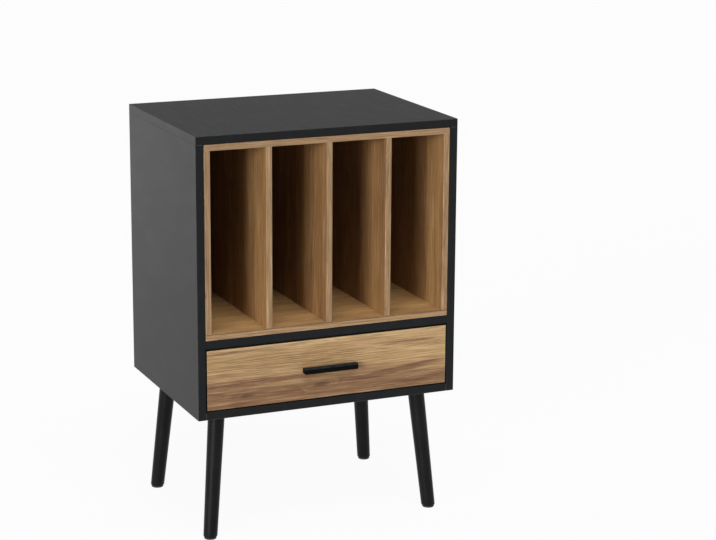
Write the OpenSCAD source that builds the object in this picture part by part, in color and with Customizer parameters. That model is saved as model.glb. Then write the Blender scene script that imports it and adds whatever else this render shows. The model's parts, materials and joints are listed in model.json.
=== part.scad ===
// Record storage stand: a black cabinet on four splayed legs, with a pull-out box of four
// upright record compartments above one drawer on roller runners.
// The origin lies on the floor in the middle of the whole stand. +X is to the right of
// someone who faces it, -Y is its front and +Z is up. All sizes are millimetres.

/* [Cabinet] */
// Width of the cabinet over its side panels
cabinet_w = 500; // [440:5:600]
// Depth of the cabinet from the front edges to the rear edges
cabinet_d = 370; // [365:5:420]
// Thickness of the cabinet boards
board_t = 15; // [15:1:19]
// Clear height of the bay that holds the record box
record_bay_h = 350; // [335:5:400]
// Clear height of the drawer bay
drawer_bay_h = 115; // [110:5:150]
// Thickness of the back sheets and the drawer's bottom sheet
sheet_t = 3; // [2.5:0.5:4]
// Distance from the rear edges in to the back sheets
back_inset = 5; // [4:1:6]
// Width of the bevel that eases the boards' edges
edge_ease = 0.5; // [0.3:0.1:1]

/* [Legs] */
// Height of the cabinet's underside above the floor
leg_h = 235; // [150:5:300]
// Diameter of a leg at its top
leg_top_d = 30.5; // [26:1:36]
// Diameter of a leg at the floor
leg_foot_d = 25.5; // [20:1:30]
// Angle by which a leg leans outwards
leg_lean = 7; // [2:1:12]
// Direction of the lean, from the width towards the depth
leg_turn = 42; // [20:1:70]
// Distance from the cabinet's sides, front and back in to a leg's axis at its top
leg_inset = 53; // [45:1:70]
// Thickness of the foot pads
pad_t = 3; // [2:0.5:6]

/* [Record box] */
// Thickness of the record box boards
box_t = 11; // [11:1:15]
// Gap between the record box and the cabinet at each side
box_side_gap = 0.5; // [0.5:0.25:2]
// Gap above the record box
box_top_gap = 0.5; // [0.5:0.25:4]
// Gap behind the record box
box_rear_gap = 2; // [1:0.5:10]

/* [Drawer] */
// Thickness of the drawer front
front_t = 15; // [15:1:19]
// Gap at each end of the drawer front
front_end_gap = 2.25; // [1:0.25:3]
// Gap below the drawer front
front_low_gap = 2; // [1:0.25:4]
// Gap above the drawer front
front_top_gap = 3.5; // [1:0.25:5]
// Thickness of the drawer's sides and back
drawer_t = 12; // [12:1:15]
// Height of the drawer's sides
drawer_side_h = 80; // [60:5:85]
// Length of the drawer's sides and runners
runner_l = 300; // [250:10:300]
// Length of the runners that stays engaged when the drawer is fully open
runner_overlap = 70; // [60:5:120]

/* [Handle] */
// Distance between the handle's screws
handle_spacing = 96; // [64:32:160]
// Height of the handle's bar
handle_bar_h = 10.5; // [6:0.5:14]
// Thickness of the handle's bar from front to back
handle_bar_t = 8; // [5:0.5:9]
// Width of each of the handle's posts
handle_post_w = 7; // [6:0.5:12]
// Distance that the handle stands out from the drawer front
handle_reach = 15; // [14:1:35]

/* [Roller runners] */
// Width of the space for a runner at each side of the drawer
runner_space = 12.5; // [12.5:0.25:14]
// Thickness of the runners' steel
runner_steel = 1.2; // [1:0.1:1.4]
// Diameter of the roller at the front of a cabinet rail
roller_d = 22; // [18:1:24]
// Height of the cabinet rails above the floor of the drawer bay
rail_lift = 8; // [6:1:12]

/* [Hidden] */
$fn = 48;

// Clearances
fit = 0.05;         // radial clearance of fasteners, bolts and rivets in their holes
sheet_play = 0.2;   // play of a sheet in its groove, on every side
track_gap = 0.3;    // gap between a roller and the steel that it runs on
box_seat = 0.3;     // gap between the record box and the shelf that it slides on
over = 1;           // how far a cutting shape runs past the surface that it cuts

// Heights in the cabinet, from the floor up
bottom_top_z = leg_h + board_t;
shelf_z = bottom_top_z + drawer_bay_h;
shelf_top_z = shelf_z + board_t;
side_top_z = shelf_top_z + record_bay_h;
cabinet_top_z = side_top_z + board_t;

// Widths and depths; the handle's reach counts, so that the whole stand is centred
bay_w = cabinet_w - 2 * board_t;
stand_d = cabinet_d + handle_reach;
front_y = handle_reach - stand_d / 2;
back_y = stand_d / 2;
mid_y = (front_y + back_y) / 2;
sheet_bite = 5;     // depth of the grooves that hold the sheets
back_sheet_y = back_y - back_inset - sheet_t;
inner_back_y = back_sheet_y - sheet_play;

// Knock-down joints: cam locks with a dowel beside each
cam_d = 15;
cam_in = 24;        // distance from the joint to the cam's axis
cam_floor = 2.5;    // wood left under a cam
cam_slot = 1.2;     // width and depth of the slots in a cam's face
bolt_bite = 8;      // depth of a cam bolt's or dowel's end in the board that it is driven into
bolt_thread_d = 5;
bolt_collar_d = 7.5;
bolt_collar_l = 3;
bolt_head_d = 6.4;
bolt_neck_d = 4;
bolt_neck_cone = 2;  // length over which the shank narrows to the neck
bolt_head_cone = 1;  // length over which the neck widens to the head
bolt_bore_d = 8;
dowel_pitch = 32;   // distance from a cam bolt to its dowel
dowel_cone = 1;     // bevel at a dowel's ends
dowel_end_gap = 0.5;
cabinet_dowel = [8, 30]; // diameter and length
thin_dowel = [6, 24];
fixing_in = 50;     // distance from a board's front and rear edges to its cams
cabinet_cam_ys = [front_y + fixing_in, back_y - fixing_in];
cabinet_dowel_ys = [front_y + fixing_in + dowel_pitch, back_y - fixing_in - dowel_pitch];

// The left-hand joints of the cabinet: x, z and the turn that points +Z into the board whose
// edge is bored and +X out of the face where its cams are
top_joint = [-(cabinet_w - board_t) / 2, side_top_z, [180, 0, 0]];
shelf_joint = [-bay_w / 2, shelf_z + board_t / 2, [0, 90, 0]];
bottom_joint = [-bay_w / 2, leg_h + board_t / 2, [0, -90, 180]];
cabinet_joints = [top_joint, shelf_joint, bottom_joint];

// Legs and the angled plates that they screw into
leg_x = cabinet_w / 2 - leg_inset;
leg_y = cabinet_d / 2 - leg_inset;
leg_l = leg_h / cos(leg_lean);
leg_seat = 10;      // distance down the leg's axis from the cabinet to the leg's top
plate_w = 56;
plate_t = 2;
plate_corner_r = 6;
plate_hole_in = 7;  // distance from the plate's edges to its screws
boss_lip = 2;       // how far the plate's boss stands out past the leg
boss_d = leg_top_d + 2 * boss_lip;
boss_wall = 2;
leg_bolt_d = 8;
leg_bolt_bite = 28; // depth of the bolt in the leg
leg_bolt_end = 4;   // length of the bolt above the plate's boss
pad_in = 1.5;       // how far the foot pad's edge lies inside the leg's
pad_d = leg_foot_d - 2 * pad_in;
pad_stem = [5, 10]; // diameter and length
pad_bevel = 0.8;
corners = [[-1, -1], [1, -1], [-1, 1], [1, 1]];

// Record box
box_w = bay_w - 2 * box_side_gap;
box_z = shelf_top_z + box_seat;
box_top_z = side_top_z - box_top_gap;
box_back_y = inner_back_y - box_rear_gap;
box_sheet_y = box_back_y - back_inset - sheet_t;
box_inner_back_y = box_sheet_y - sheet_play;
divider_count = 3;
compartment_w = (box_w - (divider_count + 2) * box_t) / (divider_count + 1);
upright_pitch = compartment_w + box_t;
upright_xs = [for (i = [0 : divider_count + 1]) (i - (divider_count + 1) / 2) * upright_pitch];
box_cam_ys = [front_y + fixing_in, box_back_y - fixing_in];
box_dowel_ys = [front_y + fixing_in + dowel_pitch, box_back_y - fixing_in - dowel_pitch];
box_top_joint = [upright_xs[0], box_top_z - box_t, [180, 0, 180]]; // cams on the outer face
box_foot_joints = [for (x = upright_xs) [x, box_z + box_t, [0, 0, 0]]];
box_head_joints = [for (x = upright_xs) [x, box_top_z - box_t, [180, 0, 0]]];
long_screw = [5, 40, 9, 3]; // diameter, length, head diameter and head height

// Roller runners, as a section from the cabinet's side inwards and from the rail's underside up
rail_w = 10;
rail_z = bottom_top_z + rail_lift;
roller_w = 6.5;
roller_side_gap = 0.4;
rivet_d = 5;
rivet_head = [9, 1.2]; // diameter and height
rivet_head_gap = 0.3;
flange_gap = 0.6;   // gap between the drawer runner's top flange and the rail's
runner_flange_u = 3;
runner_h = runner_steel + 2 * track_gap + roller_d + runner_steel;
rail_h = runner_h + flange_gap + runner_steel;
rail_roller_v = runner_steel + track_gap + roller_d / 2;
runner_roller_d = rail_h - 2 * runner_steel - 2 * track_gap;
runner_roller_v = rail_h / 2;
roller_end = 13;    // distance from a runner's end to its roller's axis
rail_setback = 2;   // distance from the drawer front to the rails
stop_h = 3;         // height of the stop that ends the drawer's travel
drawer_travel = runner_l - runner_overlap;
drawer_y = front_y + front_t;
rail_y = drawer_y + rail_setback;
rail_roller_y = rail_y + roller_end;
runner_roller_y = drawer_y + runner_l - roller_end;
rail_screw_ys = [for (part = [0.2, 0.5, 0.85]) rail_y + part * runner_l];
small_screw = [4, 12, 7, 1.4]; // diameter, length, head diameter and head height
sheet_lift = 10;    // height of the drawer's bottom sheet above its sides' lower edges
runner_screw = [4, runner_steel + sheet_lift - sheet_play - over, 7, 1.4];
runner_screw_ys = [for (part = [0.1, 0.5, 0.85]) drawer_y + part * runner_l];

// Drawer box
drawer_w = bay_w - 2 * runner_space;
drawer_z = rail_z + runner_steel;
drawer_sheet_z = drawer_z + sheet_lift;
drawer_back_y = drawer_y + runner_l - drawer_t;
front_z = bottom_top_z + front_low_gap;
front_top_z = shelf_z - front_top_gap;
front_w = bay_w - 2 * front_end_gap;
drawer_joint_x = -(drawer_w - drawer_t) / 2;
drawer_cam_zs = [drawer_z + 0.5 * drawer_side_h];
drawer_dowel_zs = [drawer_z + 0.28 * drawer_side_h, drawer_z + 0.8 * drawer_side_h];
drawer_screw_zs = [drawer_z + 0.35 * drawer_side_h, drawer_z + 0.75 * drawer_side_h];
bottom_screw_xs = [for (part = [-0.3, 0, 0.3]) part * drawer_w];

// Handle
handle_l = handle_spacing + handle_post_w;
handle_z = (front_z + front_top_z) / 2;
handle_corner_r = 3;
handle_edge_r = 3;
handle_fillet_r = 1.5;
handle_screw_bite = 8; // depth of the screws in the handle
handle_screw = [4, front_t + handle_screw_bite, 8, 2.5];

// ---- Shapes that repeat ----

// A board or sheet between two corners, with a small bevel along all its edges
module board(low, high, ease = edge_ease) {
    size = high - low;
    translate(low) intersection() {
        linear_extrude(size[2]) bevelled_rectangle(size[0], size[1], ease);
        translate([0, size[1], 0]) rotate([90, 0, 0])
            linear_extrude(size[1]) bevelled_rectangle(size[0], size[2], ease);
        rotate([90, 0, 90]) linear_extrude(size[0]) bevelled_rectangle(size[1], size[2], ease);
    }
}

module bevelled_rectangle(w, h, ease) {
    polygon([
        [ease, 0], [w - ease, 0], [w, ease], [w, h - ease],
        [w - ease, h], [ease, h], [0, h - ease], [0, ease]
    ]);
}

// A plain block between two corners
module block(low, high) {
    translate(low) cube(high - low);
}

// A round bore or pin along +Z, from z0 to z1
module round_bar(d, z0, z1) {
    translate([0, 0, z0]) cylinder(h = z1 - z0, d = d);
}

module both_sides() {
    children();
    mirror([1, 0, 0]) children();
}

// Children at each y of a joint that runs from front to back
module at_joint(joint, ys) {
    for (y = ys) translate([joint[0], y, joint[1]]) rotate(joint[2]) children();
}

// A screw that points along +Z, with its head below the plane where it seats; grow is the
// clearance when it cuts its own hole
module screw(size, grow = 0) {
    round_bar(size[0] + 2 * grow, 0, size[1] + grow);
    round_bar(size[2] + 2 * grow, -size[3] - grow, grow);
}

// A screw whose flat head lies in the board, flush with its face
module sunk_screw(size, grow = 0) {
    round_bar(size[0] + 2 * grow, grow, size[1] + grow);
    round_bar(size[2] + 2 * grow, grow > 0 ? -over : 0, size[3] + grow);
}

// A fluted dowel's plain form, with its short end below the joint
module dowel(size) {
    r = size[0] / 2;
    low = -bolt_bite;
    high = size[1] - bolt_bite;
    rotate_extrude() polygon([
        [0, low], [r - dowel_cone, low], [r, low + dowel_cone],
        [r, high - dowel_cone], [r - dowel_cone, high], [0, high]
    ]);
}

module dowel_bore(size) {
    round_bar(size[0] + 2 * fit, -bolt_bite - dowel_end_gap,
              size[1] - bolt_bite + dowel_end_gap);
}

// A cam bolt: thread in the one board, collar, neck and head in the other
module cam_bolt() {
    tip = cam_in + bolt_head_d / 4;
    neck_z = cam_in - bolt_head_d / 2;
    rotate_extrude() polygon([
        [0, -bolt_bite + fit], [bolt_thread_d / 2, -bolt_bite + fit],
        [bolt_thread_d / 2, 0], [bolt_collar_d / 2, 0],
        [bolt_collar_d / 2, bolt_collar_l], [bolt_thread_d / 2, bolt_collar_l],
        [bolt_thread_d / 2, neck_z - bolt_neck_cone], [bolt_neck_d / 2, neck_z],
        [bolt_neck_d / 2, cam_in - bolt_head_cone], [bolt_head_d / 2, cam_in],
        [bolt_head_d / 2, tip], [0, tip]
    ]);
}

// The round lock that draws a cam bolt in, for an edge-bored board of thickness t
module cam_lock(t) {
    face = t / 2;
    difference() {
        translate([0, 0, cam_in]) rotate([0, 90, 0])
            round_bar(cam_d - 2 * fit, cam_floor + fit - face, face - fit);
        round_bar(bolt_bore_d, 0, cam_in + bolt_head_d / 2);
        for (turn = [45, 135]) translate([face, 0, cam_in]) rotate([turn, 0, 0])
            cube([2 * cam_slot, cam_slot, cam_d / 2], center = true);
    }
}

module cam_bolt_thread_bore() {
    round_bar(bolt_thread_d + 2 * fit, -bolt_bite, over);
}

module cam_bore(t) {
    round_bar(bolt_bore_d, -over, cam_in + bolt_head_d / 2);
    translate([0, 0, cam_in]) rotate([0, 90, 0])
        round_bar(cam_d, cam_floor - t / 2, t / 2 + over);
}

// Holes of a cabinet joint in the board whose face is bored
module face_holes(joint, cam_ys, dowel_ys, dowel_size) {
    at_joint(joint, cam_ys) cam_bolt_thread_bore();
    at_joint(joint, dowel_ys) dowel_bore(dowel_size);
}

// Holes of a cabinet joint in the board whose edge is bored
module edge_holes(joint, cam_ys, dowel_ys, dowel_size, t) {
    at_joint(joint, cam_ys) cam_bore(t);
    at_joint(joint, dowel_ys) dowel_bore(dowel_size);
}

// ---- Cabinet ----

module cabinet_black() {
    color([0.13, 0.13, 0.135]) children();
}

module back_sheet(low, high, grow) {
    grown = [grow, grow, grow];
    block(low - grown, high + grown);
}

// The cabinet's back sheet, or the groove for it when grow is its play
module cabinet_back_sheet(grow = 0) {
    reach_x = bay_w / 2 + sheet_bite - sheet_play;
    back_sheet([-reach_x, back_sheet_y, bottom_top_z - sheet_bite + sheet_play],
               [reach_x, back_sheet_y + sheet_t, side_top_z + sheet_bite - sheet_play], grow);
}

module top_panel() {
    cabinet_black() difference() {
        board([-cabinet_w / 2, front_y, side_top_z], [cabinet_w / 2, back_y, cabinet_top_z]);
        both_sides() face_holes(top_joint, cabinet_cam_ys, cabinet_dowel_ys, cabinet_dowel);
        cabinet_back_sheet(sheet_play);
    }
}

// The left-hand side panel; the right-hand one is its mirror image
module side_panel() {
    cabinet_black() difference() {
        board([-cabinet_w / 2, front_y, leg_h], [-bay_w / 2, back_y, side_top_z]);
        edge_holes(top_joint, cabinet_cam_ys, cabinet_dowel_ys, cabinet_dowel, board_t);
        for (joint = [shelf_joint, bottom_joint])
            face_holes(joint, cabinet_cam_ys, cabinet_dowel_ys, cabinet_dowel);
        cabinet_back_sheet(sheet_play);
        at_rail_screws() screw(small_screw, fit);
    }
}

module left_side_panel() {
    side_panel();
}

module right_side_panel() {
    mirror([1, 0, 0]) side_panel();
}

module middle_shelf() {
    cabinet_black() difference() {
        board([-bay_w / 2, front_y, shelf_z], [bay_w / 2, inner_back_y, shelf_top_z]);
        both_sides()
            edge_holes(shelf_joint, cabinet_cam_ys, cabinet_dowel_ys, cabinet_dowel, board_t);
    }
}

module bottom_panel() {
    cabinet_black() difference() {
        board([-bay_w / 2, front_y, leg_h], [bay_w / 2, back_y, bottom_top_z]);
        both_sides()
            edge_holes(bottom_joint, cabinet_cam_ys, cabinet_dowel_ys, cabinet_dowel, board_t);
        cabinet_back_sheet(sheet_play);
        for (corner = corners) at_plate_screws(corner) screw(small_screw, fit);
    }
}

module cabinet_back_panel() {
    color([0.16, 0.15, 0.14]) cabinet_back_sheet();
}

module cabinet_dowels() {
    color("burlywood") both_sides()
        for (joint = cabinet_joints) at_joint(joint, cabinet_dowel_ys) dowel(cabinet_dowel);
}

module cabinet_cam_bolts() {
    color("silver") both_sides()
        for (joint = cabinet_joints) at_joint(joint, cabinet_cam_ys) cam_bolt();
}

module cabinet_cam_locks() {
    color("gainsboro") both_sides()
        for (joint = cabinet_joints) at_joint(joint, cabinet_cam_ys) cam_lock(board_t);
}

// ---- Legs ----

// Children at a corner's leg, with +Z down the leg's axis from the cabinet's underside
module at_leg(corner) {
    turn = atan2(corner[1] * sin(leg_turn), corner[0] * cos(leg_turn));
    translate([corner[0] * leg_x, mid_y + corner[1] * leg_y, leg_h])
        rotate([0, 180 - leg_lean, turn]) children();
}

// Children upright at the middle of a corner's foot, at the top of its pad
module at_foot(corner) {
    out = (leg_h - pad_t) * tan(leg_lean);
    translate([
        corner[0] * (leg_x + out * cos(leg_turn)),
        mid_y + corner[1] * (leg_y + out * sin(leg_turn)),
        pad_t
    ]) children();
}

// Children at the four screws of a corner's plate, with +Z up into the bottom panel
module at_plate_screws(corner) {
    reach = plate_w / 2 - plate_hole_in;
    for (x = [-reach, reach], y = [-reach, reach])
        translate([
            corner[0] * leg_x + x, mid_y + corner[1] * leg_y + y, leg_h - plate_t
        ]) children();
}

module rounded_square(w, r) {
    square([w, w - 2 * r], center = true);
    square([w - 2 * r, w], center = true);
    for (x = [-1, 1], y = [-1, 1]) translate([x, y] * (w / 2 - r)) circle(r);
}

// A pressed plate with a hollow angled boss, whose flat end seats the leg square to its axis
module leg_plate(corner) {
    color([0.2, 0.2, 0.2]) difference() {
        union() {
            translate([corner[0] * leg_x, mid_y + corner[1] * leg_y, leg_h - plate_t])
                linear_extrude(plate_t) rounded_square(plate_w, plate_corner_r);
            intersection() {
                at_leg(corner) round_bar(boss_d, -boss_d / 2, leg_seat);
                translate([
                    corner[0] * leg_x - plate_w / 2, mid_y + corner[1] * leg_y - plate_w / 2,
                    leg_h - plate_w
                ]) cube(plate_w);
            }
        }
        at_leg(corner) round_bar(boss_d - 2 * boss_wall, -boss_d / 2, leg_seat - boss_wall);
        at_leg(corner) round_bar(leg_bolt_d + 2 * fit, 0, leg_seat + over);
        at_plate_screws(corner) round_bar(small_screw[0] + 2 * fit, -over, plate_t + over);
    }
}

// A tapered leg, cut level for its foot pad; its cone's seam is turned out of the plane of the
// lean, so that the cut doesn't pass through it at its steepest
module leg(corner) {
    taper = (leg_foot_d - leg_top_d) / leg_l;
    past_floor = leg_foot_d * sin(leg_lean) + over;
    color([0.1, 0.1, 0.1]) difference() {
        at_leg(corner) translate([0, 0, leg_seat]) rotate([0, 0, 90]) cylinder(
            h = leg_l - leg_seat + past_floor,
            d1 = leg_top_d + taper * leg_seat,
            d2 = leg_foot_d + taper * past_floor
        );
        at_foot(corner) translate([-leg_foot_d, -leg_foot_d, -2 * leg_foot_d])
            cube(2 * leg_foot_d);
        at_leg(corner)
            round_bar(leg_bolt_d + 2 * fit, leg_seat - over, leg_seat + leg_bolt_bite + over);
        at_foot(corner) round_bar(pad_stem[0] + 2 * fit, -over, pad_stem[1] + fit);
    }
}

module leg_plate_front_left() {
    leg_plate(corners[0]);
}

module leg_plate_front_right() {
    leg_plate(corners[1]);
}

module leg_plate_back_left() {
    leg_plate(corners[2]);
}

module leg_plate_back_right() {
    leg_plate(corners[3]);
}

module leg_front_left() {
    leg(corners[0]);
}

module leg_front_right() {
    leg(corners[1]);
}

module leg_back_left() {
    leg(corners[2]);
}

module leg_back_right() {
    leg(corners[3]);
}

module leg_plate_screws() {
    color("silver") for (corner = corners) at_plate_screws(corner) screw(small_screw);
}

module leg_bolts() {
    color("silver") for (corner = corners) at_leg(corner)
        round_bar(leg_bolt_d, leg_seat - boss_wall - leg_bolt_end, leg_seat + leg_bolt_bite);
}

module foot_pads() {
    r = pad_d / 2;
    color([0.05, 0.05, 0.05]) for (corner = corners) at_foot(corner) rotate_extrude() polygon([
        [0, -pad_t], [r - pad_bevel, -pad_t], [r, pad_bevel - pad_t], [r, 0],
        [pad_stem[0] / 2, 0], [pad_stem[0] / 2, pad_stem[1]], [0, pad_stem[1]]
    ]);
}

// ---- Record box ----

module box_wood() {
    color([0.66, 0.52, 0.36]) children();
}

module box_back_sheet(grow = 0) {
    reach_x = box_w / 2 - box_t + sheet_bite - sheet_play;
    low_z = box_z + box_t - sheet_bite + sheet_play;
    high_z = box_top_z - box_t + sheet_bite - sheet_play;
    back_sheet([-reach_x, box_sheet_y, low_z], [reach_x, box_sheet_y + sheet_t, high_z], grow);
}

// Children at the screws that hold the box's bottom to its uprights, with +Z up
module at_box_screws() {
    for (x = upright_xs, y = box_cam_ys) translate([x, y, box_z]) children();
}

module box_top() {
    box_wood() difference() {
        board([-box_w / 2, front_y, box_top_z - box_t], [box_w / 2, box_back_y, box_top_z]);
        both_sides() at_joint(box_top_joint, box_cam_ys) cam_bolt_thread_bore();
        for (joint = box_head_joints) at_joint(joint, box_dowel_ys) dowel_bore(thin_dowel);
        box_back_sheet(sheet_play);
    }
}

module box_bottom() {
    box_wood() difference() {
        board([-box_w / 2, front_y, box_z], [box_w / 2, box_back_y, box_z + box_t]);
        for (joint = box_foot_joints) at_joint(joint, box_dowel_ys) dowel_bore(thin_dowel);
        at_box_screws() sunk_screw(long_screw, fit);
        box_back_sheet(sheet_play);
    }
}

// An upright board of the box, by its place in the row from the left
module box_upright(place, rear_y) {
    x = upright_xs[place];
    box_wood() difference() {
        board([x - box_t / 2, front_y, box_z + box_t],
              [x + box_t / 2, rear_y, box_top_z - box_t]);
        at_joint(box_foot_joints[place], box_dowel_ys) dowel_bore(thin_dowel);
        at_joint(box_head_joints[place], box_dowel_ys) dowel_bore(thin_dowel);
        at_box_screws() sunk_screw(long_screw, fit);
        children();
    }
}

// The left-hand side of the box; the right-hand one is its mirror image
module box_side() {
    box_upright(0, box_back_y) {
        at_joint(box_top_joint, box_cam_ys) cam_bore(box_t);
        box_back_sheet(sheet_play);
    }
}

module box_left_side() {
    box_side();
}

module box_right_side() {
    mirror([1, 0, 0]) box_side();
}

module box_divider_left() {
    box_upright(1, box_inner_back_y);
}

module box_divider_centre() {
    box_upright(2, box_inner_back_y);
}

module box_divider_right() {
    box_upright(3, box_inner_back_y);
}

module box_back_panel() {
    color([0.42, 0.32, 0.22]) box_back_sheet();
}

module box_dowels() {
    color("burlywood") for (joint = concat(box_foot_joints, box_head_joints))
        at_joint(joint, box_dowel_ys) dowel(thin_dowel);
}

module box_cam_bolts() {
    color("silver") both_sides() at_joint(box_top_joint, box_cam_ys) cam_bolt();
}

module box_cam_locks() {
    color("gainsboro") both_sides() at_joint(box_top_joint, box_cam_ys) cam_lock(box_t);
}

module box_screws() {
    color("silver") at_box_screws() sunk_screw(long_screw);
}

// ---- Roller runners ----

// Children on the left-hand runner's section: +X inwards, +Y to the back, +Z up
module at_runner() {
    translate([-bay_w / 2, 0, rail_z]) children();
}

// Extrudes a section, drawn from the side's face inwards and up, from y0 to y1
module runner_length(y0, y1) {
    translate([0, y1, 0]) rotate([90, 0, 0]) linear_extrude(y1 - y0) children();
}

// Children on a roller's axis, with +Z inwards
module at_roller(y, v) {
    translate([0, y, v]) rotate([0, 90, 0]) children();
}

// Children at the screws of the left-hand cabinet rail, with +Z outwards into the side panel
module at_rail_screws() {
    at_runner() for (y = rail_screw_ys)
        translate([runner_steel, y, rail_h / 2]) rotate([0, -90, 0]) children();
}

// Children at the screws of the left-hand drawer runner, with +Z up into the drawer's side
module at_runner_screws() {
    at_runner() for (y = runner_screw_ys)
        translate([runner_space + drawer_t / 2, y, 0]) children();
}

// The stop lies just ahead of the drawer's roller when the drawer is fully open
module travel_stop() {
    r = runner_roller_d / 2;
    rise = stop_h - track_gap;
    touch = sqrt(r * r - (r - rise) * (r - rise));
    y = runner_roller_y - drawer_travel - touch - track_gap;
    block([runner_space - runner_steel - roller_side_gap - roller_w, y - runner_steel,
           runner_steel / 2],
          [rail_w, y, runner_steel + stop_h]);
}

// The cabinet rail's section: a channel open towards the drawer, bent from flat steel
module rail_section() {
    difference() {
        square([rail_w, rail_h]);
        translate([runner_steel, runner_steel]) square([rail_w, rail_h - 2 * runner_steel]);
        rounding_cut(1, 1, runner_steel);
        translate([0, rail_h]) rounding_cut(1, -1, runner_steel);
    }
}

// The cabinet's rail, with its roller at the front and its stop behind that
module cabinet_rail() {
    color("gainsboro") difference() {
        at_runner() {
            runner_length(rail_y, rail_y + runner_l) rail_section();
            travel_stop();
        }
        at_rail_screws() round_bar(small_screw[0] + 2 * fit, -over, runner_steel + over);
        at_runner() at_roller(rail_roller_y, rail_roller_v)
            round_bar(rivet_d + 2 * fit, -over, runner_steel + over);
    }
}

// The drawer runner's section: a foot under the drawer's side, then a web
module runner_foot_section() {
    web_u = runner_space - runner_steel;
    difference() {
        union() {
            translate([web_u, 0]) square([runner_steel, runner_h - runner_steel]);
            translate([web_u, 0]) square([runner_steel + drawer_t, runner_steel]);
        }
        translate([web_u, 0]) rounding_cut(1, 1, runner_steel);
    }
}

// The flange at the top of the web, which rides on the rail's roller
module runner_flange_section() {
    difference() {
        translate([runner_flange_u, runner_h - runner_steel])
            square([runner_space - runner_flange_u, runner_steel]);
        translate([runner_space, runner_h]) rounding_cut(-1, -1, runner_steel);
    }
}

// The drawer's runner; its flange ends ahead of the runner's own roller
module drawer_runner() {
    web_u = runner_space - runner_steel;
    flange_end_y = runner_roller_y - runner_roller_d / 2 - over;
    color("whitesmoke") difference() {
        at_runner() {
            runner_length(drawer_y, drawer_y + runner_l) runner_foot_section();
            runner_length(drawer_y, flange_end_y) runner_flange_section();
        }
        at_runner_screws() round_bar(runner_screw[0] + 2 * fit, -over, runner_steel + over);
        at_runner() at_roller(runner_roller_y, runner_roller_v)
            round_bar(rivet_d + 2 * fit, web_u - over, runner_space + over);
    }
}

// A nylon roller with a shallow groove round its rim
module roller(d) {
    r = d / 2;
    groove = 0.4;
    rotate_extrude() polygon([
        [rivet_d / 2 + fit, 0], [r - groove, 0], [r, groove], [r, roller_w / 3],
        [r - groove, roller_w / 2], [r, 2 * roller_w / 3], [r, roller_w - groove],
        [r - groove, roller_w], [rivet_d / 2 + fit, roller_w]
    ]);
}

module rail_roller() {
    color("ivory") at_runner() at_roller(rail_roller_y, rail_roller_v)
        translate([0, 0, runner_steel + roller_side_gap]) roller(roller_d);
}

module runner_roller() {
    color("ivory") at_runner() at_roller(runner_roller_y, runner_roller_v)
        translate([0, 0, runner_space - runner_steel - roller_side_gap - roller_w])
            roller(runner_roller_d);
}

// The pin that a rail's roller turns on, from the side panel inwards
module rail_rivet() {
    head_u = runner_steel + roller_side_gap + roller_w + rivet_head_gap;
    at_runner() at_roller(rail_roller_y, rail_roller_v) {
        round_bar(rivet_d, 0, head_u);
        round_bar(rivet_head[0], head_u, head_u + rivet_head[1]);
    }
}

// The pin that a drawer runner's roller turns on, from the drawer's side outwards
module runner_rivet() {
    head_u = runner_space - runner_steel - roller_side_gap - roller_w - rivet_head_gap;
    at_runner() at_roller(runner_roller_y, runner_roller_v) {
        round_bar(rivet_d, head_u, runner_space);
        round_bar(rivet_head[0], head_u - rivet_head[1], head_u);
    }
}

module cabinet_rail_left() {
    cabinet_rail();
}

module cabinet_rail_right() {
    mirror([1, 0, 0]) cabinet_rail();
}

module rail_screws() {
    color("silver") both_sides() at_rail_screws() screw(small_screw);
}

module rail_rivets() {
    color("silver") both_sides() rail_rivet();
}

module rail_roller_left() {
    rail_roller();
}

module rail_roller_right() {
    mirror([1, 0, 0]) rail_roller();
}

module drawer_runner_left() {
    drawer_runner();
}

module drawer_runner_right() {
    mirror([1, 0, 0]) drawer_runner();
}

module runner_screws() {
    color("silver") both_sides() at_runner_screws() screw(runner_screw);
}

module runner_rivets() {
    color("silver") both_sides() runner_rivet();
}

module runner_roller_left() {
    runner_roller();
}

module runner_roller_right() {
    mirror([1, 0, 0]) runner_roller();
}

// ---- Drawer ----

// Children at heights of the left-hand joint of the drawer's front, with +Z into the side
module at_front_joint(zs) {
    for (z = zs) translate([drawer_joint_x, drawer_y, z]) rotate([-90, 0, 0]) children();
}

// Children at the screws through the left-hand side into the drawer's back, with +Z inwards
module at_back_joint() {
    for (z = drawer_screw_zs)
        translate([-drawer_w / 2, drawer_back_y + drawer_t / 2, z]) rotate([0, 90, 0]) children();
}

// Children at the screws up through the bottom sheet into the drawer's back
module at_bottom_screws() {
    for (x = bottom_screw_xs)
        translate([x, drawer_back_y + drawer_t / 2, drawer_sheet_z]) children();
}

// Children at the handle's screws, with +Z out towards the front
module at_handle_screws() {
    for (side = [-1, 1])
        translate([side * handle_spacing / 2, drawer_y, handle_z]) rotate([90, 0, 0]) children();
}

// The drawer's bottom sheet, or the grooves for it when grow is its play
module drawer_sheet(grow = 0) {
    reach_x = drawer_w / 2 - drawer_t + sheet_bite - sheet_play;
    block([-reach_x - grow, drawer_y - sheet_bite + sheet_play - grow, drawer_sheet_z - grow],
          [reach_x + grow, drawer_back_y + drawer_t + grow, drawer_sheet_z + sheet_t + grow]);
}

module drawer_front() {
    color([0.70, 0.56, 0.38]) difference() {
        board([-front_w / 2, front_y, front_z], [front_w / 2, drawer_y, front_top_z]);
        both_sides() {
            at_front_joint(drawer_cam_zs) cam_bolt_thread_bore();
            at_front_joint(drawer_dowel_zs) dowel_bore(thin_dowel);
        }
        drawer_sheet(sheet_play);
        at_handle_screws() round_bar(handle_screw[0] + 2 * fit, -over, front_t + over);
    }
}

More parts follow.
